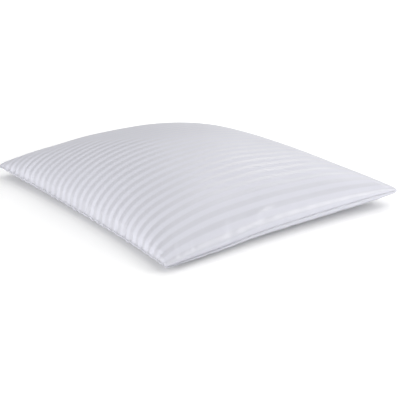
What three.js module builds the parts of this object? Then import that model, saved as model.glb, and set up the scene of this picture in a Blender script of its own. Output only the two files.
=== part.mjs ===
// A sewn bed pillow at rest, in millimetres, +Z up. X runs along its long sides and Y along its
// short ones. The origin is on the surface that it lies on, under the middle of its outline.
import * as THREE from 'three';

// Outline of the filled pillow. Its cover is cut 700 by 600, and filling it draws the corners in.
const LENGTH = 650;
const WIDTH = 550;
const HEIGHT = 115;
const LONG_SIDE_PULLED_IN = 16;
const SHORT_SIDE_PULLED_IN = 14;
const SIDE_ROUNDNESS = 2.5;

// Height of the seam above the surface at each corner, and how far it dips between two corners.
const SEAM_CORNERS = { frontLeft: 24, frontRight: 16, backRight: 32, backLeft: 26 };
const SEAM_DIPS = { front: 6, right: 4, back: 4, left: 4 };

// How the pillow fills out from its seam to its crown, and how soon its underside lies flat.
const OUTLINE_POWER = 1.8;
const CROWN_POWER = 0.41;
const UNDERSIDE_POWER = 0.3;
const UNDERSIDE_SPREAD = 1.25;

// Layers from the outside in. Neighbours stay a small gap apart.
const CLOTH = 0.8;
const LINING = 0.6;
const GAP = 0.6;
const STEEPEST_STAND = 2.5;
const LOWER_FIBRE_SHARE = 0.22;
const UPPER_FIBRE_SHARE = 0.22;

const THREAD = 0.8;
const THREAD_SIDES = 6;

const LABEL_WIDTH = 30;
const LABEL_THICKNESS = 0.6;
const LABEL_PLACE = -0.45; // along the back side, from -1 at its left end to 1 at its right
const LABEL_FOOT = 9;
const LABEL_LIFT = 0.5;
const LABEL_BEND = 4;

// The grid that every layer shares, so that one layer's facets lie straight above the next one's.
const CELLS_LONG = 18;
const CELLS_WIDE = 16;

// How many rings of cells each layer stops short of the cover's edge.
const LINING_INSET = 1;
const FIBRE_INSET = 2;

const COTTON = { color: 0xe4e4ee, roughness: 0.55, metalness: 0 };
const NON_WOVEN = { color: 0xf2f2ee, roughness: 0.9, metalness: 0 };
const FIBRE = { color: 0xf7f7f7, roughness: 1, metalness: 0 };
const FIRM_FIBRE = { color: 0xefefef, roughness: 1, metalness: 0 };
const COTTON_THREAD = { color: 0xe9e9f0, roughness: 0.6, metalness: 0 };
const SATIN_RIBBON = { color: 0xf4f4f4, roughness: 0.4, metalness: 0 };

const edgeStack = CLOTH + GAP / 2;

// The seam's height at u and v, which run from -1 to 1 across the pillow's length and width.
function seamHeight(u, v) {
  const { frontLeft, frontRight, backRight, backLeft } = SEAM_CORNERS;
  const front = THREE.MathUtils.lerp(frontLeft, frontRight, (1 + u) / 2);
  const back = THREE.MathUtils.lerp(backLeft, backRight, (1 + u) / 2);
  const level = THREE.MathUtils.lerp(front, back, (1 + v) / 2);
  const dipLong = (1 - u * u) * v * v;
  const dipShort = (1 - v * v) * u * u;
  const longDip = THREE.MathUtils.lerp(SEAM_DIPS.front, SEAM_DIPS.back, (1 + v) / 2);
  const shortDip = THREE.MathUtils.lerp(SEAM_DIPS.left, SEAM_DIPS.right, (1 + u) / 2);
  return level - longDip * dipLong - shortDip * dipShort;
}

// One point of the grid: its place on the plan, and the outer cloth's heights above and below it.
function shapeAt(i, j) {
  const u = Math.sin(Math.PI * (i / CELLS_LONG - 0.5));
  const v = Math.sin(Math.PI * (j / CELLS_WIDE - 0.5));
  const shortSidePull = SHORT_SIDE_PULLED_IN * (1 - Math.abs(v) ** SIDE_ROUNDNESS);
  const longSidePull = LONG_SIDE_PULLED_IN * (1 - Math.abs(u) ** SIDE_ROUNDNESS);
  const seam = seamHeight(u, v);
  const inside = (1 - Math.abs(u) ** OUTLINE_POWER) * (1 - Math.abs(v) ** OUTLINE_POWER);
  const highest = seam + edgeStack;
  const lowest = seam - edgeStack;
  const settled = Math.min(1, UNDERSIDE_SPREAD * inside ** UNDERSIDE_POWER);
  return {
    x: u * (LENGTH / 2 - shortSidePull),
    y: v * (WIDTH / 2 - longSidePull),
    top: highest + (HEIGHT - highest) * inside ** CROWN_POWER,
    bottom: lowest * (1 - settled),
  };
}

// How much taller than thick a layer stands at a grid point, because it lies on a slope there.
function stand(i, j, face) {
  const onEdge = i <= 0 || j <= 0 || i >= CELLS_LONG || j >= CELLS_WIDE;
  if (onEdge) {
    return 1;
  }
  const reach = 0.1;
  const [west, east] = [shapeAt(i - reach, j), shapeAt(i + reach, j)];
  const [south, north] = [shapeAt(i, j - reach), shapeAt(i, j + reach)];
  const slopeX = (east[face] - west[face]) / (east.x - west.x);
  const slopeY = (north[face] - south[face]) / (north.y - south.y);
  return Math.min(STEEPEST_STAND, Math.hypot(1, slopeX, slopeY));
}

// A height function for a face that lies at a depth under the outer cloth's own face.
function under(face, depth) {
  const inward = face === 'top' ? -1 : 1;
  return (i, j) => shapeAt(i, j)[face] + inward * depth * stand(i, j, face);
}

// Half way between the cover's two faces, where its inner layers come to their own seams.
function middle(i, j) {
  const { top, bottom } = shapeAt(i, j);
  return (top + bottom) / 2;
}

// A height function that is drawn to the middle on the outermost ring of an inset layer.
function closedAtRing(inset, height, offsetAtRing) {
  return (i, j) => {
    const ring = Math.min(i, j, CELLS_LONG - i, CELLS_WIDE - j);
    return ring <= inset ? middle(i, j) + offsetAtRing : height(i, j);
  };
}

// A height that is a share of the way up between two others, raised by a small lift.
function between(lower, upper, share, lift = 0) {
  return (i, j) => THREE.MathUtils.lerp(lower(i, j), upper(i, j), share) + lift;
}

// A closed layer between two height functions, over the grid less its outer rings of cells.
function layer(inset, upper, lower) {
  const across = CELLS_LONG - 2 * inset;
  const along = CELLS_WIDE - 2 * inset;
  const row = along + 1;
  const half = (across + 1) * row;
  const points = [];
  for (const height of [upper, lower]) {
    for (let i = inset; i <= CELLS_LONG - inset; i++) {
      for (let j = inset; j <= CELLS_WIDE - inset; j++) {
        const { x, y } = shapeAt(i, j);
        points.push(x, y, height(i, j));
      }
    }
  }

  const faces = [];
  const addBothSides = (a, b, c) => {
    faces.push(a, b, c);
    faces.push(a + half, c + half, b + half);
  };
  for (let i = 0; i < across; i++) {
    for (let j = 0; j < along; j++) {
      const a = i * row + j;
      const b = a + row;
      const c = b + 1;
      const d = a + 1;
      const cutsTowardsMiddle = i < across / 2 === j < along / 2;
      if (cutsTowardsMiddle) {
        addBothSides(a, b, c);
        addBothSides(a, c, d);
      } else {
        addBothSides(a, b, d);
        addBothSides(b, c, d);
      }
    }
  }

  const rim = [];
  for (let i = 0; i < across; i++) rim.push(i * row);
  for (let j = 0; j < along; j++) rim.push(across * row + j);
  for (let i = across; i > 0; i--) rim.push(i * row + along);
  for (let j = along; j > 0; j--) rim.push(j);
  rim.forEach((start, k) => {
    const end = rim[(k + 1) % rim.length];
    faces.push(start, start + half, end + half);
    faces.push(start, end + half, end);
  });

  const geometry = new THREE.BufferGeometry();
  geometry.setAttribute('position', new THREE.Float32BufferAttribute(points, 3));
  geometry.setIndex(faces);
  geometry.computeVertexNormals();
  return geometry;
}

// Grid positions along one side of the pillow, a constant inset from its edge.
function alongSide(side, inset) {
  const isLong = side === 'front' || side === 'back';
  const cells = isLong ? CELLS_LONG : CELLS_WIDE;
  const stops = [inset];
  for (let k = Math.ceil(inset + 0.01); k < cells - inset; k++) {
    stops.push(k);
  }
  stops.push(cells - inset);
  const places = {
    front: (k) => [k, inset],
    right: (k) => [CELLS_LONG - inset, k],
    back: (k) => [CELLS_LONG - k, CELLS_WIDE - inset],
    left: (k) => [inset, CELLS_WIDE - k],
  };
  return stops.map(places[side]);
}

// A sewing thread through a row of points.
function thread(points) {
  const section = new THREE.Shape();
  for (let k = 0; k < THREAD_SIDES; k++) {
    const angle = (2 * Math.PI * k) / THREAD_SIDES;
    const place = [(THREAD / 2) * Math.cos(angle), (THREAD / 2) * Math.sin(angle)];
    if (k === 0) section.moveTo(...place);
    else section.lineTo(...place);
  }
  const extrudePath = new THREE.CatmullRomCurve3(points);
  const steps = points.length * 2;
  return new THREE.ExtrudeGeometry(section, { extrudePath, steps, bevelEnabled: false });
}

// A seam's thread lies inside the fold of its two cloths, half a cell in from their edge.
function seamThread(sides, layerInset, endTrim) {
  const inset = layerInset + 0.5;
  const stops = sides.flatMap((side, k) => alongSide(side, inset).slice(k === 0 ? 0 : 1));
  const kept = stops.slice(endTrim, stops.length - endTrim);
  return thread(kept.map(([i, j]) => {
    const { x, y } = shapeAt(i, j);
    return new THREE.Vector3(x, y, middle(i, j));
  }));
}

// The closing stitches run on the outside of the upper cloth, just above the front edge.
function edgeStitching() {
  const stops = alongSide('front', 1);
  return thread(stops.map(([i]) => {
    const edge = shapeAt(i, 0);
    const above = shapeAt(i, 1);
    const rise = 0.3;
    const z = THREE.MathUtils.lerp(edge.top, above.top, rise);
    const y = THREE.MathUtils.lerp(edge.y, above.y, rise);
    return new THREE.Vector3(edge.x, y - THREAD, z + GAP);
  }));
}

// A blank ribbon, sewn into the back seam, that falls to the surface and turns out along it.
function careLabel() {
  const place = CELLS_LONG * (0.5 + Math.asin(LABEL_PLACE) / Math.PI);
  const root = shapeAt(place, CELLS_WIDE);
  const topZ = (root.top + root.bottom) / 2 + LABEL_THICKNESS;
  const startY = root.y + GAP;
  const fallY = startY + LABEL_BEND;
  const low = LABEL_LIFT;
  const thick = LABEL_THICKNESS;

  const profile = new THREE.Shape();
  profile.moveTo(startY, topZ);
  profile.quadraticCurveTo(fallY, topZ, fallY, topZ - LABEL_BEND);
  profile.lineTo(fallY, low + LABEL_BEND);
  profile.quadraticCurveTo(fallY, low + thick, fallY + LABEL_BEND, low + thick);
  profile.lineTo(fallY + LABEL_FOOT, low + thick);
  profile.lineTo(fallY + LABEL_FOOT, low);
  profile.lineTo(fallY + LABEL_BEND - thick, low);
  profile.quadraticCurveTo(fallY - thick, low, fallY - thick, low + LABEL_BEND);
  profile.lineTo(fallY - thick, topZ - LABEL_BEND);
  profile.quadraticCurveTo(fallY - thick, topZ - thick, startY, topZ - thick);
  const options = { depth: LABEL_WIDTH, bevelEnabled: false, curveSegments: 6 };
  const ribbon = new THREE.ExtrudeGeometry(profile, options);
  // The profile is drawn in Y and Z, and its thickness runs along X.
  ribbon.applyMatrix4(new THREE.Matrix4().set(
    0, 0, 1, root.x - LABEL_WIDTH / 2,
    1, 0, 0, 0,
    0, 1, 0, 0,
    0, 0, 0, 1,
  ));
  return ribbon;
}

const pillow = new THREE.Group();

function add(name, geometry, finish) {
  const mesh = new THREE.Mesh(geometry, new THREE.MeshStandardMaterial(finish));
  mesh.name = name;
  pillow.add(mesh);
}

// Cover: two panels of striped sateen, sewn edge to edge.
add('cover_top_panel', layer(0, under('top', 0), under('top', CLOTH)), COTTON);
add('cover_bottom_panel', layer(0, under('bottom', CLOTH), under('bottom', 0)), COTTON);
add('cover_seam_thread', seamThread(['right', 'back', 'left'], 0, 1), COTTON_THREAD);
add('cover_closing_thread', edgeStitching(), COTTON_THREAD);

// Lining: a closed bag of non-woven cloth that keeps the fibre in.
const liningDepth = CLOTH + GAP;
const liningTop = layer(
  LINING_INSET,
  closedAtRing(LINING_INSET, under('top', liningDepth), GAP / 2 + LINING),
  closedAtRing(LINING_INSET, under('top', liningDepth + LINING), GAP / 2),
);
const liningBottom = layer(
  LINING_INSET,
  closedAtRing(LINING_INSET, under('bottom', liningDepth + LINING), -GAP / 2),
  closedAtRing(LINING_INSET, under('bottom', liningDepth), -GAP / 2 - LINING),
);
add('lining_top_panel', liningTop, NON_WOVEN);
add('lining_bottom_panel', liningBottom, NON_WOVEN);
add('lining_seam_thread', seamThread(['right', 'back', 'left'], LINING_INSET, 1), COTTON_THREAD);
add('lining_closing_thread', seamThread(['front'], LINING_INSET, 1), COTTON_THREAD);

// Filling: a firm core of carded fibre between two softer layers.
const fillingDepth = liningDepth + LINING + GAP;
const fillingTop = under('top', fillingDepth);
const fillingBottom = under('bottom', fillingDepth);
const lowerLimit = (lift) => between(fillingBottom, fillingTop, LOWER_FIBRE_SHARE, lift);
const upperLimit = (lift) => between(fillingBottom, fillingTop, 1 - UPPER_FIBRE_SHARE, lift);
add('fibre_layer_upper', layer(FIBRE_INSET, fillingTop, upperLimit(GAP / 2)), FIBRE);
add('fibre_core', layer(FIBRE_INSET, upperLimit(-GAP / 2), lowerLimit(GAP / 2)), FIRM_FIBRE);
add('fibre_layer_lower', layer(FIBRE_INSET, lowerLimit(-GAP / 2), fillingBottom), FIBRE);

add('care_label', careLabel(), SATIN_RIBBON);

export default pillow;
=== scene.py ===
"""A sewn bed pillow in satin-striped sateen, lying on a pale floor in soft studio light."""
import math

import bpy
import numpy as np
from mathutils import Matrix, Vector


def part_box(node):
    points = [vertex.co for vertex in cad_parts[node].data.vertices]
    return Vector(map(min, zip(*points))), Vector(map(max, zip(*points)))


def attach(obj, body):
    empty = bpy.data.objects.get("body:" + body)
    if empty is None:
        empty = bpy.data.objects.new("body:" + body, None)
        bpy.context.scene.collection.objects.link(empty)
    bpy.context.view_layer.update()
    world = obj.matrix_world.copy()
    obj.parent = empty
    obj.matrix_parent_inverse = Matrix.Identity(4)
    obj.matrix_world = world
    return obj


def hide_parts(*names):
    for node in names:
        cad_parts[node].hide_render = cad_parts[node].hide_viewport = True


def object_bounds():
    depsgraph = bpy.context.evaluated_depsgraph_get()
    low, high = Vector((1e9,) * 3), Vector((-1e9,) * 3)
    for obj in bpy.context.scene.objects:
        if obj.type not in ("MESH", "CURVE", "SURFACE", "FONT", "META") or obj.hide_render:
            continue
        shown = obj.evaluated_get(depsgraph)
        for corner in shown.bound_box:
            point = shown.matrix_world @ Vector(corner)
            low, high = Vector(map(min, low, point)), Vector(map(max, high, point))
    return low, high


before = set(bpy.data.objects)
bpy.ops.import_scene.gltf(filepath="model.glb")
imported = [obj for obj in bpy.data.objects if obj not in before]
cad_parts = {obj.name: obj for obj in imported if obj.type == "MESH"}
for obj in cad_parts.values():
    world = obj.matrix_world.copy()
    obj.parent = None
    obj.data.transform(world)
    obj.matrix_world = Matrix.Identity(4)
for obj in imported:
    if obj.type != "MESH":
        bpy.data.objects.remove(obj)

cad_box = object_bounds()
MM = 0.001
LENGTH, WIDTH, HEIGHT = (float(side) for side in cad_box[1] - cad_box[0])

# The cover before it was filled, and its stripe: a satin band and a plain band make one pitch.
CUT_LENGTH, CUT_WIDTH = 0.700, 0.600
STRIPE_PITCH = CUT_LENGTH / 32
BAND_EDGE_RELIEF, BAND_EDGE_COLOUR = 4.0, 3.0  # how sharply a band begins and ends

# Camera
CAMERA_AZIMUTH = 53.6
CAMERA_ELEVATION = 18.8
CAMERA_DISTANCE = 1.63
CAMERA_LENS = 70.4
CAMERA_AIM = Vector((0.0235, 0.0204, -0.0197))

# The filled outline and the seam's height, as the frame's cover panels have them.
LONG_SIDE_PULLED_IN, SHORT_SIDE_PULLED_IN = 16 * MM, 14 * MM
SIDE_ROUNDNESS = 2.5
SEAM_FRONT_LEFT, SEAM_FRONT_RIGHT = 24 * MM, 16 * MM
SEAM_BACK_LEFT, SEAM_BACK_RIGHT = 26 * MM, 32 * MM
SEAM_DIP_FRONT, SEAM_DIP_ELSEWHERE = 6 * MM, 4 * MM
OUTLINE_POWER = 1.8
CROWN_POWER = 0.41
UNDERSIDE_POWER, UNDERSIDE_SPREAD = 0.3, 1.25
STARTING_HEIGHT = HEIGHT - 4 * MM  # the simulation's pressure raises the crown to HEIGHT
LIP = 4 * MM  # the closing seam, along the front side, is pressed flat and stitched from outside

# Simulation: cloth of both faces, on this many grid lines each way
SIM_LINES_LONG, SIM_LINES_WIDE = 121, 103
SIM_FRAMES = 20
SIM_PRESSURE = 6.0
SIM_QUALITY = 5
SIM_MASS = 0.3
SIM_BENDING = 0.3
SIM_MOST_MOVE = 12 * MM
SIM_RELAX_ROUNDS = 150  # takes out the crease that the simulation leaves at each corner
FLOOR_CLEARANCE = 1 * MM

# Cloth thicknesses and the gaps between layers
SATEEN = 0.6 * MM
LINING = 0.5 * MM
LAYER_GAP = 0.8 * MM

rng = np.random.default_rng(70)


# ---------------------------------------------------------------- shape

def mix(a, b, share):
    return a + (b - a) * share


def filled_shape(u, v, crown):
    """Plan and heights of the filled cover at u and v, which run from -1 to 1 across it."""
    front = mix(SEAM_FRONT_LEFT, SEAM_FRONT_RIGHT, (1 + u) / 2)
    back = mix(SEAM_BACK_LEFT, SEAM_BACK_RIGHT, (1 + u) / 2)
    dip = (1 - u * u) * v * v * mix(SEAM_DIP_FRONT, SEAM_DIP_ELSEWHERE, (1 + v) / 2)
    dip = dip + (1 - v * v) * u * u * SEAM_DIP_ELSEWHERE
    seam = mix(front, back, (1 + v) / 2) - dip
    x = u * (LENGTH / 2 - SHORT_SIDE_PULLED_IN * (1 - np.abs(v) ** SIDE_ROUNDNESS))
    y = v * (WIDTH / 2 - LONG_SIDE_PULLED_IN * (1 - np.abs(u) ** SIDE_ROUNDNESS))
    lip = 2 * LIP / WIDTH
    v_filled = np.where(v < 0, np.maximum(0, 1 + v - lip) / (1 - lip) - 1, v)
    inside_long = (1 - np.abs(u) ** OUTLINE_POWER).clip(0)
    inside = inside_long * (1 - np.abs(v_filled) ** OUTLINE_POWER).clip(0)
    top = seam + (crown - seam) * inside ** CROWN_POWER
    bottom = seam * (1 - np.minimum(1, UNDERSIDE_SPREAD * inside ** UNDERSIDE_POWER))
    return np.stack([x, y, top], -1), np.stack([x, y, bottom], -1)


def lines(count, crowding):
    """Grid lines from -1 to 1, closer together towards both ends as crowding goes from 0 to 1."""
    even = np.linspace(-1, 1, count)
    return mix(even, np.sin(np.pi / 2 * even), crowding)


def grid_faces(numbers, flip=False):
    """Quads over a 2-D array of vertex numbers."""
    corners = [numbers[:-1, :-1], numbers[1:, :-1], numbers[1:, 1:], numbers[:-1, 1:]]
    quads = np.stack([corner.ravel() for corner in corners], 1)
    return quads[:, ::-1] if flip else quads


def border_of(numbers):
    """The border's vertex numbers, once round."""
    return np.concatenate([
        numbers[:-1, 0], numbers[-1, :-1], numbers[:0:-1, -1], numbers[0, :0:-1],
    ])


def new_mesh(name, points, faces):
    mesh = bpy.data.meshes.new(name)
    mesh.from_pydata(np.asarray(points, float).tolist(), [], [list(map(int, f)) for f in faces])
    mesh.update()
    return mesh


def new_object(name, data):
    piece = bpy.data.objects.new(name, data)
    bpy.context.scene.collection.objects.link(piece)
    return piece


def mesh_points(mesh):
    found = np.empty(len(mesh.vertices) * 3)
    mesh.vertices.foreach_get("co", found)
    return found.reshape(-1, 3)


def relaxed(field, rounds):
    """The grid field with every inner value drawn to its neighbours' mean, round after round."""
    for _ in range(rounds):
        around = field[:-2, 1:-1] + field[2:, 1:-1] + field[1:-1, :-2] + field[1:-1, 2:]
        field = field.copy()
        field[1:-1, 1:-1] = mix(field[1:-1, 1:-1], around / 4, 0.5)
    return field


def inflate(top, bottom):
    """Blows the closed cover up against the floor with cloth simulation, its seam held in place."""
    shape = top.shape[:2]
    count = shape[0] * shape[1]
    top_numbers = np.arange(count).reshape(shape)
    inner = np.zeros(shape, bool)
    inner[1:-1, 1:-1] = True
    bottom_numbers = top_numbers.copy()
    bottom_numbers[inner] = count + np.arange(inner.sum())
    start = np.concatenate([top.reshape(-1, 3), bottom[inner]])
    faces = np.concatenate([grid_faces(top_numbers), grid_faces(bottom_numbers, flip=True)])

    cover = new_object("simulated_cover", new_mesh("simulated_cover", start, faces))
    held = cover.vertex_groups.new(name="seam")
    flat = np.linalg.norm(top - bottom, axis=-1) < 1e-6
    pinned = np.union1d(top_numbers[flat], bottom_numbers[flat])
    held.add([int(number) for number in pinned], 1.0, "REPLACE")
    cloth = cover.modifiers.new("Cloth", "CLOTH")
    cloth.settings.quality = SIM_QUALITY
    cloth.settings.mass = SIM_MASS
    cloth.settings.bending_stiffness = SIM_BENDING
    cloth.settings.use_pressure = True
    cloth.settings.uniform_pressure_force = SIM_PRESSURE
    cloth.settings.effector_weights.gravity = 0
    cloth.settings.vertex_group_mass = held.name
    cloth.settings.pin_stiffness = 1
    cloth.point_cache.frame_start = 1
    cloth.point_cache.frame_end = SIM_FRAMES
    cloth.collision_settings.distance_min = FLOOR_CLEARANCE
    plate = [(-1, -1, 0), (1, -1, 0), (1, 1, 0), (-1, 1, 0)]
    ground = new_object("simulated_floor", new_mesh("simulated_floor", plate, [(0, 1, 2, 3)]))
    ground.modifiers.new("Collision", "COLLISION")
    ground.collision.thickness_outer = FLOOR_CLEARANCE

    for number in range(1, SIM_FRAMES + 1):
        bpy.context.scene.frame_set(number)
    graph = bpy.context.evaluated_depsgraph_get()
    result = bpy.data.meshes.new_from_object(cover.evaluated_get(graph))
    move = mesh_points(result) - start
    bpy.context.scene.frame_set(1)
    for piece in (cover, ground):
        bpy.data.meshes.remove(piece.data)
    bpy.data.meshes.remove(result)

    distance = np.linalg.norm(move, axis=1, keepdims=True)
    move = move * np.minimum(1, SIM_MOST_MOVE / np.maximum(distance, 1e-9))
    top_move = relaxed(move[top_numbers], SIM_RELAX_ROUNDS)
    bottom_move = relaxed(move[bottom_numbers], SIM_RELAX_ROUNDS)
    return top + top_move, bottom + bottom_move


def resample(grid, old_u, old_v, u, v):
    """The grid's smooth surface at other grid lines, by Catmull-Rom curves along both ways."""
    for axis, old, new in ((0, old_u, u), (1, old_v, v)):
        grid = np.moveaxis(grid, axis, 0)
        place = np.interp(new, old, np.arange(len(old)))
        base = np.clip(np.floor(place).astype(int), 0, len(old) - 2)
        share = (place - base)[:, None, None]
        last = len(old) - 1
        p0, p1, p2, p3 = (grid[np.clip(base + k, 0, last)] for k in (-1, 0, 1, 2))
        curve = 2 * p1 + (p2 - p0) * share
        curve = curve + (2 * p0 - 5 * p1 + 4 * p2 - p3) * share ** 2
        curve = curve + (3 * p1 - p0 - 3 * p2 + p3) * share ** 3
        grid = np.moveaxis(curve / 2, 0, axis)
    return grid


def normals_of(grid):
    """Unit normals that point up where the grid's own axes run along X and Y."""
    normal = np.cross(np.gradient(grid, axis=0), np.gradient(grid, axis=1))
    size = np.linalg.norm(normal, axis=-1, keepdims=True)
    return normal / np.maximum(size, 1e-12)


def cloth_distance(grid, axis, cut):
    """How far along the cut cloth each grid line is, from the middle line's length."""
    middle = np.take(grid, grid.shape[1 - axis] // 2, axis=1 - axis)
    steps = np.linalg.norm(np.diff(middle, axis=0), axis=1)
    run = np.concatenate([[0], np.cumsum(steps)])
    return run / run[-1] * cut


def waves(along, wavelength, count=5, spread=0.35):
    """An uneven ripple, from a few cosines of nearly the same wavelength, between about -1 and 1."""
    total = np.zeros_like(along)
    for _ in range(count):
        length = wavelength * (1 + spread * rng.uniform(-1, 1))
        total = total + np.cos(2 * np.pi * along / length + rng.uniform(0, 2 * np.pi))
    return total / math.sqrt(count)


def gathers(along, depth, layers):
    """Puckers that stand square to a seam and fade away from it: (wavelength, height, reach)."""
    total = np.zeros_like(along * depth)
    for wavelength, height, reach in layers:
        total = total + height * waves(along, wavelength) * np.exp(-depth / reach)
    return total


def soft_lumps(x, y, wavelength, height, count=10):
    """Slow hollows and swellings of the filling."""
    total = np.zeros_like(x)
    for _ in range(count):
        angle = rng.uniform(0, 2 * np.pi)
        length = wavelength * rng.uniform(0.7, 1.6)
        run = x * math.cos(angle) + y * math.sin(angle)
        total = total + np.cos(2 * np.pi * run / length + rng.uniform(0, 2 * np.pi))
    return height * total / math.sqrt(count)


def stripe_band(s):
    """1 on a satin band and 0 on a plain one, with soft edges, for a distance s along the cloth."""
    return 0.5 + 0.5 * np.tanh(BAND_EDGE_RELIEF * np.sin(2 * np.pi * s / STRIPE_PITCH))


# Distances from every edge where the fine grid has a line of its own.
EDGE_LINES = np.array([0.3, 0.7, 1.2, 1.9, 2.7, 3.4, 4.0, 4.6, 5.5, 6.7]) * MM
FINE_LONG, FINE_WIDE = 261, 201
BAND_RELIEF, BAND_RELIEF_START = 0.18 * MM, 6 * MM
SEAM_GROOVE = 0.1 * MM
SEAM_EDGE_THICKNESS = 0.8 * MM
SEAM_EDGE_ROUND = 1.2 * MM

# The turned sides swell past their seams; the right seam is tucked under near its front end.
ROLL_ELSEWHERE, ROLL_TUCKED = 2 * MM, 6 * MM
ROLL_UNDERSIDE = 0.4  # of the upper face's swell on the right
ROLL_REACH = 13 * MM
TUCK_DROP = 7 * MM
TUCK_DROP_MOST = 0.6  # of the height above the floor
TUCK_REACH = 22 * MM
TUCK_END, TUCK_FADE = 0.34, 0.08  # of the right side's length, from its front end
CORNER_REACH = 22 * MM

# Creases as (s, t, degrees, length, width, height), from their starts on the cut cloth.
FOLD_PEAK = 1.65  # brings a ridge's top to its height
FOLDS = [
    (0.640, 0.022, 40, 26 * MM, 4 * MM, 0.9 * MM),
    (0.600, 0.016, 75, 24 * MM, 5 * MM, 0.6 * MM),
    (0.690, 0.215, 115, 70 * MM, 8 * MM, 1.6 * MM),
    (0.692, 0.165, 150, 40 * MM, 7 * MM, 0.8 * MM),
    (0.686, 0.060, 160, 26 * MM, 5 * MM, 0.8 * MM),
    (0.686, 0.095, 165, 22 * MM, 4 * MM, 0.6 * MM),
    (0.690, 0.560, -155, 60 * MM, 7 * MM, 0.8 * MM),
    (0.020, 0.030, 35, 60 * MM, 7 * MM, 0.8 * MM),
    (0.030, 0.575, -30, 55 * MM, 7 * MM, 0.8 * MM),
]

# The filling's lumps
LUMP_WAVELENGTH = 160 * MM
LUMPS_ABOVE, LUMPS_BELOW = 0.9 * MM, 0.3 * MM
LUMPS_START = 50 * MM

# Puckers as (wavelength, height, reach). The closing seam, sewn from outside, gathers most.
CLOSING_GATHERS = [
    (24 * MM, 1.5 * MM, 26 * MM),
    (12 * MM, 0.9 * MM, 15 * MM),
    (7 * MM, 0.3 * MM, 7 * MM),
]
TURNED_GATHERS = [(44 * MM, 0.6 * MM, 26 * MM), (19 * MM, 0.15 * MM, 10 * MM)]
LIP_WAVES = [(26 * MM, 0.9 * MM), (12 * MM, 0.4 * MM)]
LIP_WAVES_REACH = 14 * MM
LIP_WAVES_START = 30 * MM
GATHERS_START = 25 * MM
SEAM_STIFFNESS = 5 * MM


def fine_lines(count, side):
    """Grid lines with more just inside both ends, where the cloth turns into its seam."""
    edge = 1 - EDGE_LINES / (side / 2)
    main = lines(count, 0.3)
    main = main[np.abs(main) < edge.min() - MM / side]
    return np.concatenate([[-1], -edge, main, edge[::-1], [1]])


def seam_distances(s, t):
    """The cut cloth's distance from its left, right, front and back edges, at every grid point."""
    along_s, along_t = np.meshgrid(s, t, indexing="ij")
    return along_s, CUT_LENGTH - along_s, along_t, CUT_WIDTH - along_t


def lip_wave(s, t):
    """How far the closing lip waves up and down, with both of its cloths together."""
    left, right, front, _ = seam_distances(s, t)
    height = sum(high * waves(left[:, :1], length) for length, high in LIP_WAVES)
    ends = np.tanh(np.minimum(left, right) / LIP_WAVES_START)
    return height * ends * np.exp(-(front / LIP_WAVES_REACH) ** 2)


def bulge(from_seam):
    """A swelling that starts at a seam, is 1 at ROLL_REACH from it and fades further in."""
    return (from_seam / ROLL_REACH) * np.exp(1 - from_seam / ROLL_REACH)


def overstuffed(grid, face_up, s, t):
    """Swells the turned sides past their seams, most on the right near its front end."""
    left, right, front, back = seam_distances(s, t)
    tucked = 0.5 - 0.5 * np.tanh((front / CUT_WIDTH - TUCK_END) / TUCK_FADE)
    right_roll = mix(ROLL_ELSEWHERE, ROLL_TUCKED, tucked) * (1 if face_up else ROLL_UNDERSIDE)
    away_from_ends = np.tanh(np.minimum(front, back) / CORNER_REACH)
    away_from_sides = np.tanh(np.minimum(left, right) / CORNER_REACH)
    grid = grid.copy()
    grid[..., 0] += right_roll * bulge(right) * away_from_ends
    grid[..., 0] -= ROLL_ELSEWHERE * bulge(left) * away_from_ends
    grid[..., 1] += ROLL_ELSEWHERE * bulge(back) * away_from_sides
    drop = TUCK_DROP * tucked * np.tanh(front / CORNER_REACH) * np.exp(-(right / TUCK_REACH) ** 2)
    grid[..., 2] -= np.minimum(drop, TUCK_DROP_MOST * grid[..., 2])
    return grid


def folds(s, t):
    """Single soft creases: each a ridge beside a hollow, along a short line on the cloth."""
    along_s, along_t = np.meshgrid(s, t, indexing="ij")
    total = np.zeros_like(along_s)
    for start_s, start_t, degrees, length, width, height in FOLDS:
        ahead = (math.cos(math.radians(degrees)), math.sin(math.radians(degrees)))
        run = ((along_s - start_s) * ahead[0] + (along_t - start_t) * ahead[1]) / length
        off = ((along_t - start_t) * ahead[0] - (along_s - start_s) * ahead[1]) / width
        total += height * FOLD_PEAK * off * np.exp(-off ** 2 / 2 - (2 * run - 1) ** 2)
    return total


def detailed(grid, face_up, s, t, lip_lift):
    """Adds the filling's lumps, the seams' puckers and the stripes' relief to one panel."""
    grid = overstuffed(grid, face_up, s, t)
    outward = normals_of(grid) * (1 if face_up else -1)
    left, right, front, back = seam_distances(s, t)
    side = np.minimum(left, right)
    nearest = np.minimum(side, np.minimum(front, back))
    lump_height = LUMPS_ABOVE if face_up else LUMPS_BELOW
    lumps = soft_lumps(grid[..., 0], grid[..., 1], LUMP_WAVELENGTH, lump_height)
    height = lumps * np.tanh(nearest / LUMPS_START)
    corners = np.tanh(side / GATHERS_START)
    height += gathers(left, np.maximum(0, front - LIP), CLOSING_GATHERS) * corners
    height += gathers(left, back, TURNED_GATHERS) * corners
    corners = np.tanh(np.minimum(front, back) / GATHERS_START)
    height += gathers(front, left, TURNED_GATHERS) * corners
    height += gathers(front, right, TURNED_GATHERS) * corners
    inside_seam = np.minimum(side, np.minimum(np.maximum(0, front - LIP), back))
    if face_up:
        height += folds(s, t)
    height *= np.tanh(inside_seam / SEAM_STIFFNESS)
    height += BAND_RELIEF * stripe_band(left) * np.tanh(nearest / BAND_RELIEF_START)
    swell = np.sqrt(1 - (1 - np.minimum(nearest / SEAM_EDGE_ROUND, 1)) ** 2)
    lift = (SEAM_GROOVE + SEAM_EDGE_THICKNESS * swell) * (1 if face_up else -1) + lip_lift
    grid = grid + outward * height[..., None]
    grid[..., 2] += lift
    return grid


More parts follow.
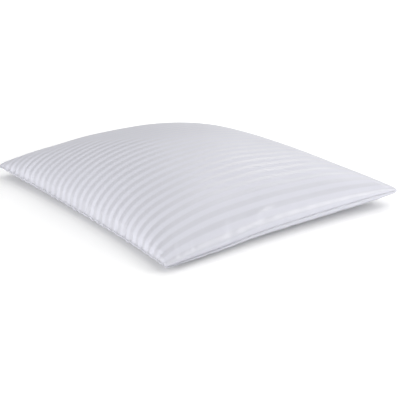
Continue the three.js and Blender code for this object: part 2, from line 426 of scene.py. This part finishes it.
sim_u, sim_v = lines(SIM_LINES_LONG, 0.8), lines(SIM_LINES_WIDE, 0.8)
top_grid, bottom_grid = filled_shape(*np.meshgrid(sim_u, sim_v, indexing="ij"), STARTING_HEIGHT)
top_grid, bottom_grid = inflate(top_grid, bottom_grid)
lowest = bottom_grid[..., 2].min()
top_grid[..., 2] -= lowest
bottom_grid[..., 2] -= lowest

u_lines, v_lines = fine_lines(FINE_LONG, LENGTH), fine_lines(FINE_WIDE, WIDTH)
top_smooth = resample(top_grid, sim_u, sim_v, u_lines, v_lines)
bottom_smooth = resample(bottom_grid, sim_u, sim_v, u_lines, v_lines)
cloth_s = cloth_distance(top_smooth, 0, CUT_LENGTH)
cloth_t = cloth_distance(top_smooth, 1, CUT_WIDTH)
lip_lift = lip_wave(cloth_s, cloth_t)
top_grid = detailed(top_smooth, True, cloth_s, cloth_t, lip_lift)
bottom_grid = detailed(bottom_smooth, False, cloth_s, cloth_t, lip_lift)
bottom_grid[..., 2] = np.maximum(bottom_grid[..., 2], 0)


# ---------------------------------------------------------------- materials

def new_material(name):
    """A material and its node tree, shader and a helper that adds a node and fills its inputs."""
    material = bpy.data.materials.new(name)
    material.use_nodes = True
    tree = material.node_tree
    shader = tree.nodes["Principled BSDF"]

    def node(kind, inputs=(), **settings):
        made = tree.nodes.new(kind)
        for key, value in settings.items():
            setattr(made, key, value)
        for socket, value in dict(inputs).items():
            if isinstance(value, bpy.types.NodeSocket):
                tree.links.new(value, made.inputs[socket])
            else:
                made.inputs[socket].default_value = value
        return made

    return material, tree, shader, node


SATIN_BAND_SHADE = 0.87  # the long floats of a satin band scatter less light sideways
SATIN_BAND_GLOSS = 1.0
SATEEN_DARKER, SATEEN_LIGHTER = (0.643, 0.645, 0.708, 1), (0.673, 0.675, 0.740, 1)
PLAIN_ROUGHNESS, SATIN_ROUGHNESS = 0.80, 0.42
THREADS_ACROSS, THREADS_ALONG = 2600.0, 900.0  # per metre of cloth


def sateen_material():
    """White cotton with satin stripes: bands with a broad gloss, between matt ones."""
    material, tree, shader, node = new_material("striped_sateen")
    cloth = node("ShaderNodeUVMap", uv_map="cloth").outputs["UV"]
    parts = node("ShaderNodeSeparateXYZ", {0: cloth})
    turns = node("ShaderNodeMath", {0: parts.outputs["X"], 1: 2 * math.pi / STRIPE_PITCH},
                 operation="MULTIPLY").outputs[0]
    wave = node("ShaderNodeMath", {0: turns}, operation="SINE").outputs[0]
    sharp = node("ShaderNodeMath", {0: wave, 1: BAND_EDGE_COLOUR}, operation="MULTIPLY").outputs[0]
    band = node("ShaderNodeMath", {0: sharp}, operation="TANH").outputs[0]
    satin = node("ShaderNodeMapRange", {"Value": band, "From Min": -1.0, "From Max": 1.0}).outputs[0]

    patches = node("ShaderNodeTexNoise", {"Vector": cloth, "Scale": 9.0, "Detail": 3.0}).outputs["Fac"]
    tint = node("ShaderNodeMix", data_type="RGBA")
    tree.links.new(patches, tint.inputs[0])
    tint.inputs[6].default_value = SATEEN_DARKER
    tint.inputs[7].default_value = SATEEN_LIGHTER
    weave = node("ShaderNodeMix", data_type="RGBA", blend_type="MULTIPLY")
    tree.links.new(satin, weave.inputs[0])
    tree.links.new(tint.outputs[2], weave.inputs[6])
    weave.inputs[7].default_value = (*[SATIN_BAND_SHADE] * 3, 1)
    tree.links.new(weave.outputs[2], shader.inputs["Base Color"])

    rough = node("ShaderNodeMapRange",
                 {"Value": satin, "To Min": PLAIN_ROUGHNESS, "To Max": SATIN_ROUGHNESS})
    tree.links.new(rough.outputs[0], shader.inputs["Roughness"])
    shader.inputs["Specular IOR Level"].default_value = 0.7
    coat = node("ShaderNodeMath", {0: satin, 1: SATIN_BAND_GLOSS}, operation="MULTIPLY").outputs[0]
    tree.links.new(coat, shader.inputs["Coat Weight"])
    shader.inputs["Coat Roughness"].default_value = 0.52
    shader.inputs["Coat IOR"].default_value = 1.5
    shader.inputs["Sheen Weight"].default_value = 0.15
    shader.inputs["Sheen Roughness"].default_value = 0.4

    weave_scale = (THREADS_ACROSS, THREADS_ALONG, 1.0)
    threads = node("ShaderNodeMapping", {"Vector": cloth, "Scale": weave_scale}).outputs[0]
    floats = node("ShaderNodeTexNoise", {"Vector": threads, "Scale": 1.0, "Detail": 1.0}).outputs["Fac"]
    bump = node("ShaderNodeBump", {"Strength": 0.12, "Distance": 0.0002, "Height": floats})
    tree.links.new(bump.outputs[0], shader.inputs["Normal"])
    return material


def plain_cloth_material(name, colour, roughness, scale):
    """Matt cloth with a fine uneven grain."""
    material, tree, shader, node = new_material(name)
    place = node("ShaderNodeTexCoord").outputs["Object"]
    grain = node("ShaderNodeTexNoise", {"Vector": place, "Scale": scale, "Detail": 4.0}).outputs["Fac"]
    tint = node("ShaderNodeMix", data_type="RGBA")
    tree.links.new(grain, tint.inputs[0])
    tint.inputs[6].default_value = (*[c * 0.94 for c in colour], 1)
    tint.inputs[7].default_value = (*colour, 1)
    tree.links.new(tint.outputs[2], shader.inputs["Base Color"])
    rough = node("ShaderNodeMapRange", {"Value": grain, "To Min": roughness - 0.08, "To Max": roughness})
    tree.links.new(rough.outputs[0], shader.inputs["Roughness"])
    bump = node("ShaderNodeBump", {"Strength": 0.3, "Distance": 0.0004, "Height": grain})
    tree.links.new(bump.outputs[0], shader.inputs["Normal"])
    return material


sateen = sateen_material()
thread_cotton = plain_cloth_material("cotton_thread", (0.80, 0.80, 0.83), 0.6, 900.0)
lining_cloth = plain_cloth_material("non_woven_lining", (0.85, 0.85, 0.83), 0.95, 500.0)
soft_fibre = plain_cloth_material("soft_hollow_fibre", (0.88, 0.88, 0.88), 1.0, 160.0)
firm_fibre = plain_cloth_material("firm_hollow_fibre", (0.84, 0.84, 0.83), 1.0, 220.0)
ribbon = plain_cloth_material("label_ribbon", (0.86, 0.86, 0.86), 0.5, 700.0)


# ---------------------------------------------------------------- pieces

def finish_piece(piece, material, slot, *nodes):
    piece.data.materials.append(material)
    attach(piece, "root")
    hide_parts(*nodes)
    return piece


def smooth(mesh):
    mesh.polygons.foreach_set("use_smooth", np.ones(len(mesh.polygons), bool))


def cloth_piece(name, grid, face_up, thickness, s, t):
    """A sheet on the grid, thickened inwards, with the cut cloth's distances as its UV map."""
    numbers = np.arange(grid.shape[0] * grid.shape[1]).reshape(grid.shape[:2])
    mesh = new_mesh(name, grid.reshape(-1, 3), grid_faces(numbers, flip=not face_up))
    smooth(mesh)
    flat = np.stack(np.broadcast_arrays(s[:, None], t[None, :]), -1).reshape(-1, 2)
    corners = np.empty(len(mesh.loops), int)
    mesh.loops.foreach_get("vertex_index", corners)
    mesh.uv_layers.new(name="cloth").data.foreach_set("uv", flat[corners].ravel())
    piece = new_object(name, mesh)
    thick = piece.modifiers.new("cloth thickness", "SOLIDIFY")
    thick.thickness = thickness
    thick.offset = -1
    return piece


def slab(name, upper, lower):
    """A closed solid between two grids."""
    count = upper.shape[0] * upper.shape[1]
    numbers = np.arange(count).reshape(upper.shape[:2])
    rim = border_of(numbers)
    nexts = np.roll(rim, -1)
    walls = np.stack([rim, rim + count, nexts + count, nexts], 1)
    faces = np.concatenate([grid_faces(numbers), grid_faces(numbers + count, flip=True), walls])
    mesh = new_mesh(name, np.concatenate([upper.reshape(-1, 3), lower.reshape(-1, 3)]), faces)
    smooth(mesh)
    return new_object(name, mesh)


cover_top = cloth_piece("cover_top_sateen", top_grid, True, SATEEN, cloth_s, cloth_t)
cover_bottom = cloth_piece("cover_bottom_sateen", bottom_grid, False, SATEEN, cloth_s, cloth_t)
finish_piece(cover_top, sateen, "cover_sateen", "cover_top_panel")
finish_piece(cover_bottom, sateen, "cover_sateen", "cover_bottom_panel")


def kept_lines(places, side, inset, step):
    """Every few grid lines of those at least inset from both edges in plan, ends included."""
    inside = np.flatnonzero((1 - np.abs(places)) * side / 2 >= inset)
    return np.unique(np.concatenate([inside[::step], inside[-1:]]))


class Inside:
    """The space inside the cover, less a border as wide as inset, on every few grid lines."""

    def __init__(self, inset, step):
        rows = kept_lines(u_lines, LENGTH, inset, step)
        columns = kept_lines(v_lines, WIDTH, inset, step)
        self.s, self.t = cloth_s[rows], cloth_t[columns]
        self.top = top_grid[np.ix_(rows, columns)]
        self.bottom = bottom_grid[np.ix_(rows, columns)]
        self.height = (self.top - self.bottom)[..., 2:]
        self.centre = (self.top + self.bottom) / 2
        self.rim = np.ones(self.height.shape[:2], bool)
        self.rim[1:-1, 1:-1] = False

    def under_top(self, depth, most):
        """The face at a depth below the cover's upper face, at most that share of the way down."""
        return mix(self.top, self.bottom, np.minimum(most, depth / self.height))

    def over_bottom(self, depth, most):
        return mix(self.bottom, self.top, np.minimum(most, depth / self.height))


LINING_DEPTH, LINING_MOST = 4.5 * MM, 0.30
LINING_INSET = 8 * MM
LINING_SEAM_GAP = 0.1 * MM
LINING_WRINKLE = 0.010  # of the space's height, up to LINING_WRINKLE_FULL
LINING_WRINKLE_FULL = 40 * MM
lining_space = Inside(LINING_INSET, 3)


def lining_panel(name, face, side, slot_node):
    """One face of the lining's bag, drawn to the middle where the two faces are sewn together."""
    face = face.copy()
    face[lining_space.rim] = lining_space.centre[lining_space.rim]
    face[..., 2][lining_space.rim] += side * (LINING + LINING_SEAM_GAP)
    wrinkle = soft_lumps(face[..., 0], face[..., 1], 45 * MM, LINING_WRINKLE)[..., None]
    face = face + normals_of(face) * wrinkle * np.minimum(lining_space.height, LINING_WRINKLE_FULL)
    panel = cloth_piece(name, face, side > 0, LINING, lining_space.s, lining_space.t)
    return finish_piece(panel, lining_cloth, "lining_cloth", slot_node)


lining_top = lining_panel("lining_top_cloth", lining_space.under_top(LINING_DEPTH, LINING_MOST), 1,
                          "lining_top_panel")
lining_bottom = lining_panel("lining_bottom_cloth", lining_space.over_bottom(LINING_DEPTH, LINING_MOST), -1,
                             "lining_bottom_panel")

# Filling: three carded batts, one on another.
FIBRE_DEPTH, FIBRE_MOST = 9.5 * MM, 0.40
FIBRE_INSET = 16 * MM
SOFT_SHARE = 0.22
FIBRE_UNEVENNESS = 0.012  # of the filling's thickness
fibre_space = Inside(FIBRE_INSET, 4)
fibre_low = fibre_space.over_bottom(FIBRE_DEPTH, FIBRE_MOST)
fibre_high = fibre_space.under_top(FIBRE_DEPTH, FIBRE_MOST)


def batt_faces():
    """The filling's four faces from the bottom up, each uneven as carded fibre is."""
    for share in (0, SOFT_SHARE, 1 - SOFT_SHARE, 1):
        face = mix(fibre_low, fibre_high, share)
        thickness = (fibre_high - fibre_low)[..., 2]
        face[..., 2] += soft_lumps(face[..., 0], face[..., 1], 60 * MM, FIBRE_UNEVENNESS) * thickness
        yield face


def batt(name, upper, lower, material, slot_name, node):
    gap = np.minimum(LAYER_GAP / 2, (upper - lower)[..., 2:] / 4) * np.array([0, 0, 1])
    piece = slab(name, upper - gap, lower + gap)
    finish_piece(piece, material, slot_name, node)
    return piece


faces_up = list(batt_faces())
batt("fibre_upper_batt", faces_up[3], faces_up[2], soft_fibre, "soft_fibre", "fibre_layer_upper")
batt("fibre_core_batt", faces_up[2], faces_up[1], firm_fibre, "firm_fibre", "fibre_core")
batt("fibre_lower_batt", faces_up[1], faces_up[0], soft_fibre, "soft_fibre", "fibre_layer_lower")


# ---------------------------------------------------------------- sewing

STITCH_PITCH = 3.2 * MM
STITCH_LENGTH = 2.6 * MM
THREAD_RADIUS = 0.22 * MM
STITCH_FROM_EDGE = 2.7 * MM
SEAM_THREAD_FROM_EDGE = 3.4 * MM
SEAM_THREAD_WEAVE = 0.5 * MM
LINING_THREAD_INWARD = 0.2  # of the way from the lining's rim to its next grid line


def thread_curve(name, runs):
    """One curve object of round thread, with a smooth run through each list of points."""
    curve = bpy.data.curves.new(name, "CURVE")
    curve.dimensions = "3D"
    curve.bevel_depth = THREAD_RADIUS
    curve.bevel_resolution = 1
    curve.resolution_u = 2
    curve.use_fill_caps = True
    for points in runs:
        spline = curve.splines.new("POLY")
        spline.points.add(len(points) - 1)
        flat = np.concatenate([points, np.ones((len(points), 1))], 1)
        spline.points.foreach_set("co", flat.ravel())
    return new_object(name, curve)


def even_steps(points, step):
    """Points at equal steps along a row of points."""
    run = np.concatenate([[0], np.cumsum(np.linalg.norm(np.diff(points, axis=0), axis=1))])
    places = np.arange(0, run[-1], step)
    return np.stack([np.interp(places, run, points[:, k]) for k in range(3)], 1)


def nearest_line(distances, place):
    return int(np.argmin(np.abs(distances - place)))


def edge_row(grid, side, distance):
    """The row of grid points that runs along one side at a distance from its edge."""
    first_s, last_s = (nearest_line(cloth_s, place) for place in (distance, CUT_LENGTH - distance))
    first_t, last_t = (nearest_line(cloth_t, place) for place in (distance, CUT_WIDTH - distance))
    rows = {
        "front": grid[first_s:last_s + 1, first_t],
        "right": grid[last_s, first_t:last_t + 1],
        "back": grid[first_s:last_s + 1, last_t][::-1],
        "left": grid[first_s, first_t:last_t + 1][::-1],
    }
    return rows[side]


def edge_stitches(grid, upward):
    """Short stitches that dip into the cloth at both ends, along the closing seam."""
    path = even_steps(edge_row(grid, "front", STITCH_FROM_EDGE), STITCH_PITCH)
    runs = []
    for start, following in zip(path[1:-2], path[2:-1]):
        ahead = (following - start) * (STITCH_LENGTH / STITCH_PITCH)
        shares = np.linspace(0, 1, 5)[:, None]
        arch = 1 - (2 * shares - 1) ** 4
        rise = np.array([0, 0, upward]) * (arch * 2 - 1) * THREAD_RADIUS
        runs.append(start + ahead * shares + rise)
    return runs


def locked_seam(grid_pairs):
    """A thread that weaves up and down through the fold of its two cloths."""
    path = even_steps(np.concatenate(grid_pairs), STITCH_PITCH / 4)
    turn = np.arange(len(path)) * (np.pi / 2)
    path[:, 2] += SEAM_THREAD_WEAVE * np.sin(turn)
    return [path]


middle = (top_grid + bottom_grid) / 2
stitches = thread_curve("closing_stitches",
                        edge_stitches(top_grid, 1) + edge_stitches(bottom_grid, -1))
finish_piece(stitches, thread_cotton, "sewing_thread", "cover_closing_thread")
turned_sides = [edge_row(middle, side, SEAM_THREAD_FROM_EDGE) for side in ("right", "back", "left")]
cover_thread = thread_curve("cover_seam_stitches", locked_seam(turned_sides))
finish_piece(cover_thread, thread_cotton, "sewing_thread", "cover_seam_thread")


def lining_row(side):
    """A row of points just inside one side of the lining's seam."""
    centre = lining_space.centre
    rows = {
        "front": (centre[1:-1, 0], centre[1:-1, 1]),
        "right": (centre[-1, 1:-1], centre[-2, 1:-1]),
        "back": (centre[-2:0:-1, -1], centre[-2:0:-1, -2]),
        "left": (centre[0, -2:0:-1], centre[1, -2:0:-1]),
    }
    rim, inner = rows[side]
    return mix(rim, inner, LINING_THREAD_INWARD)


turned_lining = [lining_row(side) for side in ("right", "back", "left")]
lining_thread = thread_curve("lining_seam_stitches", locked_seam(turned_lining))
finish_piece(lining_thread, thread_cotton, "sewing_thread", "lining_seam_thread")
closed_lining = thread_curve("lining_closing_stitches", locked_seam([lining_row("front")[1:-1]]))
finish_piece(closed_lining, thread_cotton, "sewing_thread", "lining_closing_thread")


# ---------------------------------------------------------------- label

LABEL_WIDTH, LABEL_CUT = 0.030, 0.045
LABEL_THICKNESS = 0.35 * MM
LABEL_LINES = 15
LABEL_CURL = 0.6 * MM


def care_label():
    """A blank ribbon from the back seam that falls to the floor and turns out along it."""
    low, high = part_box("care_label")
    across = np.linspace(low[0], high[0], LABEL_LINES)
    drop = high[2] - low[2]
    out = high[1] - low[1]
    path = [(0, drop), (0.18 * out, drop * 0.98), (0.34 * out, drop * 0.80), (0.38 * out, drop * 0.45),
            (0.40 * out, drop * 0.16), (0.52 * out, drop * 0.03), (out, 0.0)]
    share = np.linspace(0, 1, len(path))
    fine = np.linspace(0, 1, 41)
    run_y = np.interp(fine, share, [p[0] for p in path])
    run_z = np.interp(fine, share, [p[1] for p in path])
    soften = np.array([1, 4, 6, 4, 1]) / 16
    run_y[2:-2] = np.convolve(run_y, soften, "valid")
    run_z[2:-2] = np.convolve(run_z, soften, "valid")
    grid = np.empty((LABEL_LINES, len(fine), 3))
    grid[..., 0] = across[:, None]
    curl = LABEL_CURL * np.sin(np.linspace(0, np.pi, LABEL_LINES))[:, None] * fine
    grid[..., 1] = low[1] + run_y + curl
    grid[..., 2] = low[2] + run_z + LABEL_THICKNESS
    s, t = across - across[0], fine * LABEL_CUT
    label = cloth_piece("care_label_ribbon", grid, True, LABEL_THICKNESS, s, t)
    return finish_piece(label, ribbon, "label_ribbon", "care_label")


label = care_label()

# ---------------------------------------------------------------- stage

FLOOR_HALF = 60
FLOOR_GLOW_NEAR, FLOOR_GLOW_FAR = 0.10, 0.60  # the floor glows, more far from the pillow than near it: far out this keeps the floor white where the softboxes fade, near the pillow the weaker glow is painted shade
FLOOR_NEAR, FLOOR_FAR = 0.45, 1.30
# The floor's colour is painted darker near the pillow, from ambient occlusion within CONTACT_REACH: a
# painted contact shadow.
CONTACT_REACH = 0.03
CONTACT_OPENNESS, PAINTED_CONTACT_SHADE = 0.4, 0.78
WORLD_AT_HORIZON, WORLD_OVERHEAD = 0.12, 0.70
SOFTBOX_DISTANCE = 2.2

# Three softboxes. Angles are from the camera, to its right and up, in degrees; powers in watts.
FILL_TO_THE_RIGHT, FILL_UP, FILL_POWER, FILL_SIZE = -45, 20, 25, 1.6
KEY_TO_THE_RIGHT, KEY_UP, KEY_POWER, KEY_SIZE = 80, 20, 24, 1.6
BACK_TO_THE_RIGHT, BACK_UP, BACK_POWER, BACK_SIZE = 155, 40, 15, 2.0

floor_corners = [(-1, -1, 0), (1, -1, 0), (1, 1, 0), (-1, 1, 0)]
floor = new_object("floor", new_mesh("floor", np.multiply(floor_corners, FLOOR_HALF), [(0, 1, 2, 3)]))
floor_paint, floor_tree, floor_shader, floor_node = new_material("white_floor")
# Painted contact shadow: the floor's base colour falls from white to the darkest painted shade where the
# pillow closes the floor in.
near = floor_node("ShaderNodeAmbientOcclusion", {"Distance": CONTACT_REACH}, samples=24).outputs["AO"]
shade = floor_node("ShaderNodeMapRange",
                   {"Value": near, "From Min": CONTACT_OPENNESS, "To Min": PAINTED_CONTACT_SHADE})
floor_tree.links.new(shade.outputs[0], floor_shader.inputs["Base Color"])
floor_shader.inputs["Roughness"].default_value = 0.9
floor_shader.inputs["Specular IOR Level"].default_value = 0.2
floor_shader.inputs["Emission Color"].default_value = (1, 1, 1, 1)
place = floor_node("ShaderNodeTexCoord").outputs["Object"]
from_middle = floor_node("ShaderNodeVectorMath", {0: place}, operation="LENGTH").outputs["Value"]
glow = floor_node("ShaderNodeMapRange", {
    "Value": from_middle, "From Min": FLOOR_NEAR, "From Max": FLOOR_FAR,
    "To Min": FLOOR_GLOW_NEAR, "To Max": FLOOR_GLOW_FAR,
})
# The glow is dimmed by the painted contact shadow as well, so it stays low where the pillow closes the
# floor in.
glow_dimmed_by_painted_shade = floor_node("ShaderNodeMath", {0: glow.outputs[0], 1: shade.outputs[0]},
                       operation="MULTIPLY")
floor_tree.links.new(glow_dimmed_by_painted_shade.outputs[0], floor_shader.inputs["Emission Strength"])
floor.data.materials.append(floor_paint)

world = bpy.data.worlds.new("studio")
bpy.context.scene.world = world
world.use_nodes = True
sky = world.node_tree.nodes
backdrop = sky["Background"]
backdrop.inputs["Color"].default_value = (1, 1, 1, 1)
direction = sky.new("ShaderNodeTexCoord")
upwards = sky.new("ShaderNodeSeparateXYZ")
strength = sky.new("ShaderNodeMapRange")
strength.inputs["To Min"].default_value = WORLD_AT_HORIZON
strength.inputs["To Max"].default_value = WORLD_OVERHEAD
world.node_tree.links.new(direction.outputs["Generated"], upwards.inputs[0])
world.node_tree.links.new(upwards.outputs["Z"], strength.inputs["Value"])
world.node_tree.links.new(strength.outputs[0], backdrop.inputs["Strength"])


def softbox(name, to_the_right, up, power, size):
    light = bpy.data.lights.new(name, "AREA")
    light.shape = "DISK"
    light.size = size
    light.energy = power
    around, up = math.radians(CAMERA_AZIMUTH - 90 + to_the_right), math.radians(up)
    outward = Vector((math.cos(around) * math.cos(up), math.sin(around) * math.cos(up), math.sin(up)))
    box = new_object(name, light)
    box.location = outward * SOFTBOX_DISTANCE
    aim = Vector((0, 0, HEIGHT / 2)) - box.location
    box.rotation_mode = "QUATERNION"
    box.rotation_quaternion = aim.to_track_quat("-Z", "Y")


softbox("fill_softbox", FILL_TO_THE_RIGHT, FILL_UP, FILL_POWER, FILL_SIZE)
softbox("key_softbox", KEY_TO_THE_RIGHT, KEY_UP, KEY_POWER, KEY_SIZE)
softbox("back_softbox", BACK_TO_THE_RIGHT, BACK_UP, BACK_POWER, BACK_SIZE)

camera_data = bpy.data.cameras.new("camera")
camera_data.lens = CAMERA_LENS
camera = new_object("camera", camera_data)
azimuth, elevation = math.radians(CAMERA_AZIMUTH), math.radians(CAMERA_ELEVATION)
towards_camera = Vector((
    math.sin(azimuth) * math.cos(elevation),
    -math.cos(azimuth) * math.cos(elevation),
    math.sin(elevation),
))
camera.location = CAMERA_AIM + towards_camera * CAMERA_DISTANCE
camera.rotation_mode = "QUATERNION"
camera.rotation_quaternion = (-towards_camera).to_track_quat("-Z", "Y")
bpy.context.scene.camera = camera
bpy.context.scene.view_settings.view_transform = "Standard"
